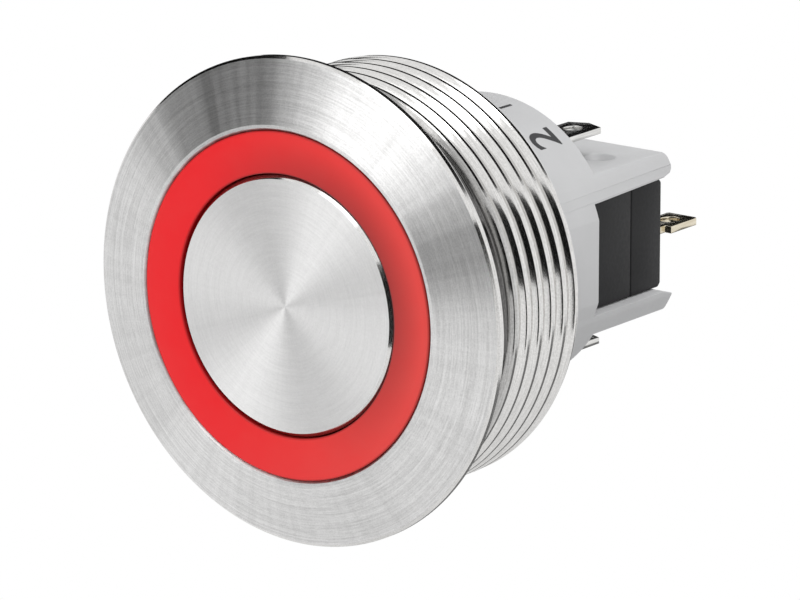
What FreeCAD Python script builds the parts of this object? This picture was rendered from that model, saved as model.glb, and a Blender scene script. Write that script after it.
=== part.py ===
# Illuminated metal pushbutton for a round panel hole, with a snap-action switch on its rear.
# Millimetres. The axis of the button runs along Y, its face looks along -Y and +Z is up.
# The origin is on the axis, at the rear face of the flange, which rests on the panel.
import FreeCAD, Part
import math
import os
import Sketcher

# Driving sizes, each with an alias in the spreadsheet of the document.
SIZES = [
    # Turned metal housing
    ("flange_overhang", 1.5),
    ("flange_thickness", 1.35),
    ("rim_thickness", 0.45),
    ("seat_relief_clearance", 0.15),
    ("seat_relief_depth", 0.12),
    ("undercut_depth", 0.65),
    ("undercut_length", 1.4),
    ("barrel_length", 7.15),
    ("barrel_chamfer", 0.35),
    ("barrel_wall", 1.7),
    ("shoulder_width", 0.4),
    # Light ring
    ("ring_width", 2.14),
    ("ring_tube_length", 3.95),
    ("ring_foot_thickness", 0.8),
    ("skirt_wall", 0.6),
    ("lamp_space", 1.8),
    # Button, seal and pusher
    ("button_clearance", 0.08),
    ("button_edge_break", 0.16),
    ("button_wall", 2.06),
    ("button_recess_depth", 1.4),
    ("seal_width", 1.08),
    ("seal_station", 1.1),
    ("stop_lip", 0.3),
    ("stop_thickness", 0.8),
    ("stem_radius", 1.9),
    ("button_travel", 0.7),
    # Return spring
    ("spring_coil_radius", 3.35),
    ("spring_wire_radius", 0.24),
    ("spring_turns", 4.5),
    ("well_clearance", 0.32),
    # Lamp board and its terminals
    ("board_thickness", 1.0),
    ("board_hole_clearance", 1.31),
    ("lamp_length", 1.6),
    ("lamp_width", 0.8),
    ("lamp_height", 0.6),
    ("tab_width", 2.1),
    ("tab_thickness", 0.35),
    ("tab_inset", 3.12),
    ("tab_rise", 1.36),
    ("tab_cover", 0.424),
    ("tab_reach", 3.9),
    ("tab_tip_slope", 0.45),
    ("tab_hole_radius", 0.5),
    ("tab_hole_inset", 1.5),
    # Carrier and the ring that keeps it in the barrel
    ("carrier_base_thickness", 1.3),
    ("collar_reach", 7.65),
    ("collar_flat_depth", 0.31),
    ("guide_length", 4.65),
    ("keeper_thickness", 0.5),
    ("keeper_play", 0.7),
    ("keeper_step", 0.95),
    ("keeper_bite", 0.3),
    ("keeper_gap_angle", 40.0),
    ("rail_reach", 6.35),
    ("upper_rail_thickness", 1.3),
    ("lower_rail_thickness", 1.25),
    ("upper_rail_draft", 0.15),
    ("rail_edge_break", 0.15),
    ("lead_in_height", 0.3),
    ("lead_in_length", 1.0),
    ("window_depth", 0.9),
    ("window_inset", 0.55),
    ("pocket_depth", 0.55),
    ("peg_radius", 0.65),
    ("peg_height", 0.6),
    ("peg_inset", 1.65),
    ("peg_hole_wall", 0.1),
    ("dimple_inset", 2.0),
    ("dimple_radius", 0.8),
    ("dimple_floor_radius", 0.3),
    ("dimple_depth", 0.75),
    # Snap-action switch
    ("switch_width", 12.8),
    ("switch_thickness", 5.8),
    ("switch_cover_depth", 3.8),
    ("switch_base_depth", 2.7),
    ("switch_end_wall", 0.6),
    ("switch_side_wall", 1.0),
    ("switch_front_wall", 1.2),
    ("switch_edge_break", 0.2),
    ("actuator_radius", 0.95),
    ("actuator_height", 0.8),
    ("actuator_offset", 0.8),
    ("actuator_collar_radius", 1.4),
    ("actuator_collar_thickness", 0.4),
    ("actuator_foot_radius", 0.35),
    # Terminals, leaf and contacts of the switch
    ("terminal_inset", 1.2),
    ("terminal_width", 1.1),
    ("terminal_thickness", 0.4),
    ("terminal_drop", 0.2),
    ("lug_width", 1.9),
    ("lug_length", 3.75),
    ("lug_neck_length", 1.3),
    ("lug_hole_radius", 0.55),
    ("lug_tip_bevel", 0.12),
    ("leaf_station", 2.15),
    ("leaf_thickness", 0.15),
    ("leaf_width", 2.4),
    ("pivot_inset", 0.5),
    ("leaf_tip_overhang", 0.5),
    ("leaf_lift", 0.4),
    ("contact_inset", 1.4),
    ("contact_radius", 0.5),
    ("rivet_neck_radius", 0.3),
    ("contact_height", 0.25),
    ("arm_thickness", 0.25),
    ("arm_width", 1.8),
    # Clearances
    ("ring_clearance", 0.02),
    ("seat_clearance", 0.02),
    ("carrier_clearance", 0.08),
    ("stem_clearance", 0.08),
    ("seal_clearance", 0.02),
    ("slot_clearance", 0.05),
    ("contact_clearance", 0.03),
    # How far a cutting outline reaches past the material
    ("overrun", 1.0),
]
LAMP_COUNT = 6
WIRE_SIDES = 6
COIL_STEPS = 12

doc = FreeCAD.newDocument("pushbutton")


def make_sheet():
    """Put the driving sizes into the spreadsheet, one row for each."""
    sheet = doc.addObject("Spreadsheet::Sheet", "sizes")
    for row, (alias, size) in enumerate(SIZES, start=1):
        sheet.set(f"A{row}", alias)
        sheet.set(f"B{row}", str(size))
        sheet.setAlias(f"B{row}", alias)
    doc.recompute()
    return sheet


sheet = make_sheet()


def term(expression):
    """Put the sheet's name before each alias in an expression."""
    words = expression.replace("(", " ( ").replace(")", " ) ").split()
    aliases = {alias for alias, _ in SIZES}
    return " ".join(f"sizes.{word}" if word in aliases else word for word in words)


def value(expression):
    """The number that an expression of the sheet's aliases gives now."""
    return float(sheet.evalExpression(term(expression)))


# Stations along the axis, worked out from the sizes.
FACE = "( 0 - flange_thickness )"
RING_SHOULDER = "( ring_tube_length - flange_thickness )"
RING_FOOT = f"( {RING_SHOULDER} + seat_clearance )"
RING_REAR = f"( {RING_FOOT} + ring_foot_thickness )"
STOP_FRONT = f"( {RING_REAR} + seat_clearance )"
STOP_REAR = f"( {STOP_FRONT} + stop_thickness )"
BOARD_FRONT = f"( {RING_REAR} + lamp_space )"
BOARD_REAR = f"( {BOARD_FRONT} + board_thickness )"
CARRIER_FRONT = f"( {BOARD_REAR} + seat_clearance )"
CARRIER_STEP = f"( {CARRIER_FRONT} + carrier_base_thickness )"
KEEPER_FRONT = f"( {CARRIER_STEP} + seat_clearance )"
KEEPER_REAR = f"( {KEEPER_FRONT} + keeper_thickness )"
BARREL_END = "( undercut_length + barrel_length )"
COLLAR_REAR = f"( {BARREL_END} + collar_reach )"
POCKET_FLOOR = f"( {COLLAR_REAR} - pocket_depth )"
WINDOW_FLOOR = f"( {COLLAR_REAR} - window_depth )"
WELL_FLOOR = f"( {POCKET_FLOOR} - guide_length )"
SWITCH_FRONT = f"( {POCKET_FLOOR} + seat_clearance )"
SWITCH_SPLIT = f"( {SWITCH_FRONT} + switch_cover_depth )"
SWITCH_REAR = f"( {SWITCH_SPLIT} + switch_base_depth )"
CHAMBER_FRONT = f"( {SWITCH_FRONT} + switch_front_wall )"
ACTUATOR_TIP = f"( {SWITCH_FRONT} - actuator_height )"
PEG_STATION = f"( {SWITCH_SPLIT} - peg_hole_wall - slot_clearance - peg_radius )"
LEAF_FRONT = f"( {SWITCH_FRONT} + leaf_station )"
LEAF_REAR = f"( {LEAF_FRONT} + leaf_thickness )"

# Places across the switch, counted from its ends.
SWITCH_END = "( switch_width / 2 )"
TERMINAL_OFFSET = f"( {SWITCH_END} - terminal_inset )"
PIVOT_OFFSET = f"( {TERMINAL_OFFSET} - pivot_inset )"
CONTACT_OFFSET = f"( {TERMINAL_OFFSET} - contact_inset )"
PEG_OFFSET = f"( {SWITCH_END} - peg_inset )"
DIMPLE_OFFSET = f"( {SWITCH_END} - dimple_inset )"
TAB_OFFSET = f"( {SWITCH_END} - tab_inset )"

# Heights: the switch sets the rails, and the rails set the lamp tabs.
RAIL_INNER = "( switch_thickness / 2 + slot_clearance )"
UPPER_RAIL_TOP = f"( {RAIL_INNER} + upper_rail_thickness )"
LOWER_RAIL_BOTTOM = f"( {RAIL_INNER} + lower_rail_thickness )"
TAB_HEIGHT = f"( {UPPER_RAIL_TOP} + tab_rise )"
TAB_SIDE = f"( {TAB_OFFSET} + tab_width / 2 )"
TAB_TOP = f"( {TAB_HEIGHT} + tab_thickness / 2 )"

# Radii, from the collar that covers the tabs out to the flange, then in to the button.
COLLAR_RADIUS = f"( ( {TAB_SIDE} ^ 2 + {TAB_TOP} ^ 2 ) ^ 0.5 + tab_cover )"
KEEPER_INNER = f"( {COLLAR_RADIUS} + keeper_play )"
BORE = f"( {KEEPER_INNER} + keeper_step )"
KEEPER_GROOVE = f"( {BORE} + keeper_bite )"
FOOT_RADIUS = f"( {BORE} - carrier_clearance )"
BARREL_RADIUS = f"( {BORE} + barrel_wall )"
UNDERCUT_RADIUS = f"( {BARREL_RADIUS} - undercut_depth )"
FLANGE_RADIUS = f"( {BARREL_RADIUS} + flange_overhang )"
SEAT_INNER = f"( {BARREL_RADIUS} + seat_relief_clearance )"
RING_HOLE = f"( {BORE} - shoulder_width )"
RING_OUTER = f"( {RING_HOLE} - ring_clearance )"
RING_INNER = f"( {RING_OUTER} - ring_width )"
BUTTON_RADIUS = f"( {RING_INNER} - button_clearance )"
BUTTON_RECESS = f"( {BUTTON_RADIUS} - button_wall )"
SEAL_OUTER = f"( {RING_INNER} - seal_clearance )"
SEAL_INNER = f"( {SEAL_OUTER} - seal_width )"
SEAL_FLOOR = f"( {SEAL_INNER} - seal_clearance )"
LAMP_RADIUS = f"( ( {RING_INNER} + {RING_OUTER} ) / 2 )"
SPRING_RADIUS = "( spring_coil_radius + spring_wire_radius )"
BOARD_HOLE = f"( {SPRING_RADIUS} + board_hole_clearance )"
STEM_HOLE = "( stem_radius + stem_clearance )"

# The leaf swings by leaf_lift under the actuator, so its tip moves further than that.
LEVER = f"( {PIVOT_OFFSET} + actuator_offset )"
TIP_SWING = f"( leaf_lift * ( {PIVOT_OFFSET} + {CONTACT_OFFSET} ) / {LEVER} )"
FOOT_GAP = "( button_travel - leaf_lift + slot_clearance )"


def origin_plane(body, role):
    """One of the body's own origin planes."""
    for feature in body.Origin.OriginFeatures:
        if feature.Role == role:
            return feature
    raise ValueError(role)


def new_body(label):
    """An empty body whose label is the node's name."""
    body = doc.addObject("PartDesign::Body", label)
    body.Label = label
    return body


def new_sketch(body, name, plane, offset="0"):
    """A sketch on one of the body's origin planes, moved along the plane's normal."""
    sketch = body.newObject("Sketcher::SketchObject", name)
    sketch.AttachmentSupport = (origin_plane(body, plane), [""])
    sketch.MapMode = "FlatFace"
    sketch.setExpression(".AttachmentOffset.Base.z", term(offset))
    return sketch


def pin_point(sketch, geometry, point, across, along):
    """Hold a point at a distance across and along the sketch, both from the sheet."""
    for kind, expression in (("DistanceX", across), ("DistanceY", along)):
        number = sketch.addConstraint(
            Sketcher.Constraint(kind, -1, 1, geometry, point, value(expression))
        )
        name = f"{kind}_{number}"
        sketch.renameConstraint(number, name)
        sketch.setExpression(f"Constraints.{name}", term(expression))


def add_polygon(sketch, corners):
    """A closed outline of straight lines through the corners."""
    first = sketch.GeometryCount
    points = [FreeCAD.Vector(value(across), value(along), 0) for across, along in corners]
    count = len(points)
    for index in range(count):
        line = Part.LineSegment(points[index], points[(index + 1) % count])
        sketch.addGeometry(line, False)
    for index in range(count):
        following = first + (index + 1) % count
        sketch.addConstraint(Sketcher.Constraint("Coincident", first + index, 2, following, 1))
    for index, (across, along) in enumerate(corners):
        pin_point(sketch, first + index, 1, across, along)


def add_rectangle(sketch, left, right, bottom, top):
    """A rectangle given by its sides."""
    add_polygon(sketch, [(left, bottom), (right, bottom), (right, top), (left, top)])


def add_circle(sketch, across, along, radius):
    """A circle given by its centre and radius."""
    centre = FreeCAD.Vector(value(across), value(along), 0)
    circle = Part.Circle(centre, FreeCAD.Vector(0, 0, 1), value(radius))
    geometry = sketch.addGeometry(circle, False)
    pin_point(sketch, geometry, 3, across, along)
    number = sketch.addConstraint(Sketcher.Constraint("Radius", geometry, value(radius)))
    name = f"Radius_{number}"
    sketch.renameConstraint(number, name)
    sketch.setExpression(f"Constraints.{name}", term(radius))


def turn(body, name, corners, angle="360"):
    """Turn a profile of (radius, station) corners about the Y axis."""
    sketch = new_sketch(body, f"{name}_profile", "XY_Plane")
    add_polygon(sketch, corners)
    feature = body.newObject("PartDesign::Revolution", name)
    feature.Profile = sketch
    feature.ReferenceAxis = (sketch, ["V_Axis"])
    feature.setExpression("Angle", term(angle))
    return feature


def turn_away(body, name, corners):
    """Cut a turned groove or bore with a profile of (radius, station) corners."""
    sketch = new_sketch(body, f"{name}_profile", "XY_Plane")
    add_polygon(sketch, corners)
    feature = body.newObject("PartDesign::Groove", name)
    feature.Profile = sketch
    feature.ReferenceAxis = (sketch, ["V_Axis"])
    feature.Angle = 360
    return feature


def pad_both_ways(body, name, sketch, thickness):
    """Pad a sketch by half the thickness on each side of its plane."""
    feature = body.newObject("PartDesign::Pad", name)
    feature.Profile = sketch
    feature.SideType = "Symmetric"
    feature.setExpression("Length", term(thickness))
    return feature


def pocket_both_ways(body, name, sketch, thickness):
    """Cut a sketch away by half the thickness on each side of its plane."""
    feature = body.newObject("PartDesign::Pocket", name)
    feature.Profile = sketch
    feature.SideType = "Symmetric"
    feature.setExpression("Length", term(thickness))
    return feature


def place(body, across="0", along="0", up="0"):
    """Bind the body's position to the sheet."""
    for axis, expression in (("x", across), ("y", along), ("z", up)):
        body.setExpression(f".Placement.Base.{axis}", term(expression))


def make_housing():
    """Flange, undercut and barrel, turned from one bar, with the bores.

    The undercut runs a little into the flange, so only the seat outside it meets the panel.
    """
    body = new_body("housing")
    turn(body, "bar", [
        (RING_HOLE, FACE),
        (FLANGE_RADIUS, "0 - rim_thickness"),
        (FLANGE_RADIUS, "0"),
        (SEAT_INNER, "0"),
        (UNDERCUT_RADIUS, "0 - seat_relief_depth"),
        (UNDERCUT_RADIUS, "undercut_length"),
        (BARREL_RADIUS, "undercut_length + undercut_depth"),
        (BARREL_RADIUS, f"{BARREL_END} - barrel_chamfer"),
        (f"{BARREL_RADIUS} - barrel_chamfer", BARREL_END),
        (BORE, BARREL_END),
        (BORE, RING_SHOULDER),
        (RING_HOLE, RING_SHOULDER),
    ])
    turn_away(body, "keeper_groove", [
        (f"{BORE} - keeper_bite", f"{KEEPER_FRONT} - seat_clearance"),
        (KEEPER_GROOVE, f"{KEEPER_FRONT} - seat_clearance"),
        (KEEPER_GROOVE, f"{KEEPER_REAR} + seat_clearance"),
        (f"{BORE} - keeper_bite", f"{KEEPER_REAR} + seat_clearance"),
    ])


def make_light_ring():
    """Translucent ring with a foot behind the housing's shoulder and a skirt to the board."""
    body = new_body("light_ring")
    turn(body, "ring", [
        (RING_INNER, FACE),
        (RING_OUTER, FACE),
        (RING_OUTER, RING_FOOT),
        (FOOT_RADIUS, RING_FOOT),
        (FOOT_RADIUS, f"{BOARD_FRONT} - seat_clearance"),
        (f"{FOOT_RADIUS} - skirt_wall", f"{BOARD_FRONT} - seat_clearance"),
        (f"{FOOT_RADIUS} - skirt_wall", RING_REAR),
        (RING_INNER, RING_REAR),
    ])


def make_button_cap():
    """Turned metal button with a seal groove round it and a recess for the pusher."""
    body = new_body("button_cap")
    turn(body, "cap", [
        ("0", FACE),
        (f"{BUTTON_RADIUS} - button_edge_break", FACE),
        (BUTTON_RADIUS, f"{FACE} + button_edge_break"),
        (BUTTON_RADIUS, f"{STOP_FRONT} - seat_clearance"),
        (BUTTON_RECESS, f"{STOP_FRONT} - seat_clearance"),
        (BUTTON_RECESS, f"{STOP_FRONT} - button_recess_depth"),
        ("0", f"{STOP_FRONT} - button_recess_depth"),
    ])
    half_groove = "seal_width / 2 + seal_clearance"
    turn_away(body, "seal_groove", [
        (SEAL_FLOOR, f"seal_station - ( {half_groove} )"),
        (RING_INNER, f"seal_station - ( {half_groove} )"),
        (RING_INNER, f"seal_station + {half_groove}"),
        (SEAL_FLOOR, f"seal_station + {half_groove}"),
    ])


def make_button_seal():
    """Rubber seal of square section in the button's groove."""
    turn(new_body("button_seal"), "seal", [
        (SEAL_INNER, "seal_station - seal_width / 2"),
        (SEAL_OUTER, "seal_station - seal_width / 2"),
        (SEAL_OUTER, "seal_station + seal_width / 2"),
        (SEAL_INNER, "seal_station + seal_width / 2"),
    ])


def make_pusher():
    """Moulded pusher: spigot in the cap, stop flange behind the ring, and a stem."""
    body = new_body("button_pusher")
    spigot = f"{BUTTON_RECESS} - seat_clearance"
    stop = f"{RING_INNER} + stop_lip"
    turn(body, "pusher", [
        ("0", f"{STOP_FRONT} - button_recess_depth + seat_clearance"),
        (spigot, f"{STOP_FRONT} - button_recess_depth + seat_clearance"),
        (spigot, STOP_FRONT),
        (stop, STOP_FRONT),
        (stop, STOP_REAR),
        ("stem_radius", STOP_REAR),
        ("stem_radius", f"{ACTUATOR_TIP} - seat_clearance"),
        ("0", f"{ACTUATOR_TIP} - seat_clearance"),
    ])


def coil_path(radius, front, rear, turns):
    """A coil's centre line as short straight runs, evenly spaced."""
    count = round(turns * COIL_STEPS)
    points = []
    for index in range(count + 1):
        turned = 2 * math.pi * turns * index / count
        station = front + (rear - front) * index / count
        points.append(FreeCAD.Vector(radius * math.cos(turned), station, radius * math.sin(turned)))
    return points


def wire_outline(start, heading, radius):
    """The wire's section as a polygon square to its first run."""
    upward = FreeCAD.Vector(0, 1, 0)
    across = (upward - heading * upward.dot(heading)).normalize()
    beside = heading.cross(across)
    corners = []
    for index in range(WIRE_SIDES):
        turned = 2 * math.pi * index / WIRE_SIDES
        corners.append(start + across * radius * math.cos(turned) + beside * radius * math.sin(turned))
    return Part.makePolygon(corners + corners[:1])


def make_spring():
    """Return spring, coiled from the stop flange to the floor of the carrier's well."""
    front = value(f"{STOP_REAR} + spring_wire_radius + seat_clearance")
    rear = value(f"{WELL_FLOOR} - spring_wire_radius - seat_clearance")
    points = coil_path(value("spring_coil_radius"), front, rear, value("spring_turns"))
    heading = (points[1] - points[0]).normalize()
    coil = Part.BRepOffsetAPI.MakePipeShell(Part.makePolygon(points))
    mitred = 1
    coil.setTransitionMode(mitred)
    coil.add(wire_outline(points[0], heading, value("spring_wire_radius")))
    coil.build()
    coil.makeSolid()
    spring = doc.addObject("Part::Feature", "return_spring")
    spring.Label = "return_spring"
    spring.Shape = coil.shape()


def make_lamp_board():
    """Ring-shaped board that carries the lamps, with slots for its two tabs."""
    body = new_body("lamp_board")
    turn(body, "disc", [
        (BOARD_HOLE, BOARD_FRONT),
        (FOOT_RADIUS, BOARD_FRONT),
        (FOOT_RADIUS, BOARD_REAR),
        (BOARD_HOLE, BOARD_REAR),
    ])
    cut_tab_slots(body, BOARD_FRONT, BOARD_REAR)


def cut_tab_slots(body, front, rear):
    """Two slots for the lamp tabs through whatever lies between two stations."""
    sketch = new_sketch(body, "tab_slot_outlines", "XZ_Plane", f"0 - ( {rear} + overrun )")
    left = f"{TAB_OFFSET} - tab_width / 2 - slot_clearance"
    right = f"{TAB_SIDE} + slot_clearance"
    low = f"{TAB_HEIGHT} - tab_thickness / 2 - slot_clearance"
    high = f"{TAB_TOP} + slot_clearance"
    add_rectangle(sketch, left, right, low, high)
    add_rectangle(sketch, left, right, f"0 - ( {high} )", f"0 - ( {low} )")
    slots = body.newObject("PartDesign::Pocket", "tab_slots")
    slots.Profile = sketch
    slots.Reversed = True
    slots.setExpression("Length", term(f"{rear} - {front} + overrun * 2"))


def make_lamps():
    """Small lamps on the front of the board, evenly spaced behind the light ring."""
    for index in range(LAMP_COUNT):
        body = new_body(f"lamp_{index + 1}")
        sketch = new_sketch(body, "outline", "XY_Plane", LAMP_RADIUS)
        rear = f"{BOARD_FRONT} - seat_clearance"
        front = f"{rear} - lamp_height"
        add_rectangle(sketch, "0 - lamp_length / 2", "lamp_length / 2", front, rear)
        pad_both_ways(body, "lamp", sketch, "lamp_width")
        turned = FreeCAD.Rotation(FreeCAD.Vector(0, 1, 0), index * 360.0 / LAMP_COUNT)
        body.Placement = FreeCAD.Placement(FreeCAD.Vector(), turned)


def make_lamp_tab(label, side):
    """Flat tin-plated terminal of the lamp circuit, from the board out past the collar."""
    body = new_body(label)
    half = "tab_width / 2"
    front = f"{BOARD_FRONT} - seat_clearance"
    rear = f"{COLLAR_REAR} + tab_reach"
    sketch = new_sketch(body, "outline", "XY_Plane")
    add_polygon(sketch, [
        (f"0 - {half}", front),
        (half, front),
        (half, f"{rear} - tab_tip_slope"),
        ("0", rear),
        (f"0 - {half}", f"{rear} - tab_tip_slope"),
    ])
    add_circle(sketch, "0", f"{rear} - tab_hole_inset", "tab_hole_radius")
    pad_both_ways(body, "blade", sketch, "tab_thickness")
    place(body, across=TAB_OFFSET, up=f"{side} * {TAB_HEIGHT}")


def make_keeper():
    """Open spring ring that keeps the carrier in the barrel."""
    body = new_body("keeper_ring")
    rim = f"{KEEPER_GROOVE} - seat_clearance"
    turn(body, "ring", [
        (KEEPER_INNER, KEEPER_FRONT),
        (rim, KEEPER_FRONT),
        (rim, KEEPER_REAR),
        (KEEPER_INNER, KEEPER_REAR),
    ], "360 - keeper_gap_angle")


def make_carrier():
    """Moulded carrier: base in the barrel, flatted collar, and two rails for the switch."""
    body = new_body("carrier")
    tip = f"( {COLLAR_REAR} + rail_reach )"
    turn(body, "core", [
        (STEM_HOLE, CARRIER_FRONT),
        (FOOT_RADIUS, CARRIER_FRONT),
        (FOOT_RADIUS, CARRIER_STEP),
        (COLLAR_RADIUS, CARRIER_STEP),
        (COLLAR_RADIUS, tip),
        (STEM_HOLE, tip),
    ])
    well = f"{SPRING_RADIUS} + well_clearance"
    turn_away(body, "spring_well", [
        ("0", f"{CARRIER_FRONT} - overrun"),
        (well, f"{CARRIER_FRONT} - overrun"),
        (well, WELL_FLOOR),
        ("0", WELL_FLOOR),
    ])
    flat_collar_sides(body)
    cut_rail_side(body, "upper", UPPER_RAIL_TOP, "1", tip)
    cut_rail_side(body, "lower", LOWER_RAIL_BOTTOM, "( 0 - 1 )", tip)
    cut_switch_pocket(body, tip)
    cut_windows(body)
    cut_tab_slots(body, CARRIER_FRONT, COLLAR_REAR)
    add_pegs(body)
    sink_dimples(body)


def flat_collar_sides(body):
    """Cut a flat along each side of the collar."""
    sketch = new_sketch(body, "collar_flat_outlines", "XY_Plane")
    inner = f"( {COLLAR_RADIUS} - collar_flat_depth )"
    outer = f"( {COLLAR_RADIUS} + overrun )"
    rear = f"{COLLAR_REAR} + rail_reach + overrun"
    add_rectangle(sketch, inner, outer, KEEPER_REAR, rear)
    add_rectangle(sketch, f"0 - {outer}", f"0 - {inner}", KEEPER_REAR, rear)
    pocket_both_ways(body, "collar_flats", sketch, f"{outer} * 2")


def cut_rail_side(body, name, height, side, tip):
    """Cut the core flat outside a rail and break the edge of the rail's tip."""
    beyond = f"{tip} + overrun"
    broken = f"{side} * ( {height} - rail_edge_break )"
    above = f"{side} * ( {COLLAR_RADIUS} + overrun )"
    sketch = new_sketch(body, f"{name}_side", "YZ_Plane")
    add_polygon(sketch, [
        (COLLAR_REAR, f"{side} * {height}"),
        (f"{tip} - rail_edge_break", f"{side} * {height}"),
        (tip, broken),
        (beyond, broken),
        (beyond, above),
        (COLLAR_REAR, above),
    ])
    pocket_both_ways(body, f"{name}_cut", sketch, f"( {COLLAR_RADIUS} + overrun ) * 2")


def cut_switch_pocket(body, tip):
    """Slot between the rails that takes the switch, with a lead-in at its mouth."""
    beyond = f"{tip} + overrun"
    mouth = f"{tip} - lead_in_length"
    top = f"{RAIL_INNER} + upper_rail_draft"
    sketch = new_sketch(body, "switch_pocket_side", "YZ_Plane")
    add_polygon(sketch, [
        (POCKET_FLOOR, f"0 - {RAIL_INNER}"),
        (mouth, f"0 - {RAIL_INNER}"),
        (tip, f"0 - {RAIL_INNER} - lead_in_height"),
        (beyond, f"0 - {RAIL_INNER} - lead_in_height"),
        (beyond, f"{top} + lead_in_height"),
        (tip, f"{top} + lead_in_height"),
        (mouth, top),
        (POCKET_FLOOR, RAIL_INNER),
    ])
    pocket_both_ways(body, "switch_pocket", sketch, f"( {COLLAR_RADIUS} + overrun ) * 2")


def cut_windows(body):
    """Relieve the wall of the collar at both ends of the switch."""
    sketch = new_sketch(body, "window_outlines", "XY_Plane")
    inner = f"( {SWITCH_END} - window_inset )"
    outer = f"( {COLLAR_RADIUS} + overrun )"
    rear = f"{COLLAR_REAR} + overrun"
    add_rectangle(sketch, inner, outer, WINDOW_FLOOR, rear)
    add_rectangle(sketch, f"0 - {outer}", f"0 - {inner}", WINDOW_FLOOR, rear)
    pocket_both_ways(body, "windows", sketch, f"{RAIL_INNER} * 2")


def add_pegs(body):
    """Two short pegs under the upper rail that locate the switch."""
    tips = f"{RAIL_INNER} - peg_height"
    sketch = new_sketch(body, "peg_outlines", "XY_Plane", tips)
    add_circle(sketch, PEG_OFFSET, PEG_STATION, "peg_radius")
    add_circle(sketch, f"0 - {PEG_OFFSET}", PEG_STATION, "peg_radius")
    pegs = body.newObject("PartDesign::Pad", "pegs")
    pegs.Profile = sketch
    pegs.setExpression("Length", term("peg_height + upper_rail_draft + slot_clearance"))


def sink_dimples(body):
    """Conical dimples on the upper rail, over the switch's split."""
    for side in ("1", "( 0 - 1 )"):
        cone = body.newObject("PartDesign::SubtractiveCone", "dimple")
        cone.AttachmentSupport = (origin_plane(body, "XY_Plane"), [""])
        cone.MapMode = "FlatFace"
        cone.setExpression("Radius1", term("dimple_floor_radius"))
        cone.setExpression("Radius2", term("dimple_radius"))
        cone.setExpression("Height", term("dimple_depth"))
        cone.setExpression(".AttachmentOffset.Base.x", term(f"{side} * {DIMPLE_OFFSET}"))
        cone.setExpression(".AttachmentOffset.Base.y", term(SWITCH_SPLIT))
        cone.setExpression(".AttachmentOffset.Base.z", term(f"{UPPER_RAIL_TOP} - dimple_depth"))


def make_switch_cover():
    """Front half of the switch's case: closed front, chamber, actuator hole, peg holes."""
    body = new_body("switch_cover")
    sketch = new_sketch(body, "block_outline", "XY_Plane")
    add_rectangle(sketch, f"0 - {SWITCH_END}", SWITCH_END, SWITCH_FRONT, SWITCH_SPLIT)
    pad_both_ways(body, "block", sketch, "switch_thickness")
    sketch = new_sketch(body, "chamber_outline", "XY_Plane")
    inner = f"( {SWITCH_END} - switch_end_wall )"
    add_rectangle(sketch, f"0 - {inner}", inner, CHAMBER_FRONT, f"{SWITCH_SPLIT} + overrun")
    pocket_both_ways(body, "chamber", sketch, "switch_thickness - switch_side_wall * 2")
    sketch = new_sketch(body, "actuator_hole_outline", "XZ_Plane", f"0 - {CHAMBER_FRONT}")
    add_circle(sketch, "actuator_offset", "0", "actuator_radius + slot_clearance")
    pocket_both_ways(body, "actuator_hole", sketch, "( switch_front_wall + overrun ) * 2")
    sketch = new_sketch(body, "peg_hole_outlines", "XY_Plane", "switch_thickness / 2")
    add_circle(sketch, PEG_OFFSET, PEG_STATION, "peg_radius + slot_clearance")
    add_circle(sketch, f"0 - {PEG_OFFSET}", PEG_STATION, "peg_radius + slot_clearance")
    pocket_both_ways(body, "peg_holes", sketch, "peg_height * 2 + slot_clearance")


def make_switch_base():
    """Rear half of the switch's case, moulded round the three terminals."""
    body = new_body("switch_base")
    sketch = new_sketch(body, "block_outline", "YZ_Plane")
    side = "switch_thickness / 2"
    front = f"{SWITCH_SPLIT} + seat_clearance"
    add_polygon(sketch, [
        (front, f"0 - {side}"),
        (f"{SWITCH_REAR} - switch_edge_break", f"0 - {side}"),
        (SWITCH_REAR, f"switch_edge_break - {side}"),
        (SWITCH_REAR, f"{side} - switch_edge_break"),
        (f"{SWITCH_REAR} - switch_edge_break", side),
        (front, side),
    ])
    pad_both_ways(body, "block", sketch, "switch_width")
    sketch = new_sketch(body, "terminal_slot_outlines", "XY_Plane", "0 - terminal_drop")
    slot_half = "( terminal_width / 2 + seat_clearance )"
    for centre in (f"( 0 - {TERMINAL_OFFSET} )", "0", TERMINAL_OFFSET):
        left = f"{centre} - {slot_half}"
        right = f"{centre} + {slot_half}"
        add_rectangle(sketch, left, right, f"{SWITCH_SPLIT} - overrun", f"{SWITCH_REAR} + overrun")
    pocket_both_ways(body, "terminal_slots", sketch, "terminal_thickness + seat_clearance * 2")


def make_switch_actuator():
    """Moulded actuator of the switch, kept in by its collar, with a narrow foot."""
    body = new_body("switch_actuator")
    collar_front = f"( {CHAMBER_FRONT} + seat_clearance )"
    collar_rear = f"( {collar_front} + actuator_collar_thickness )"
    turn(body, "actuator", [
        ("0", ACTUATOR_TIP),
        ("actuator_radius", ACTUATOR_TIP),
        ("actuator_radius", collar_front),
        ("actuator_collar_radius", collar_front),
        ("actuator_collar_radius", collar_rear),
        ("actuator_foot_radius", collar_rear),
        ("actuator_foot_radius", f"{LEAF_FRONT} - {FOOT_GAP}"),
        ("0", f"{LEAF_FRONT} - {FOOT_GAP}"),
    ])
    place(body, across="actuator_offset")


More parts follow.
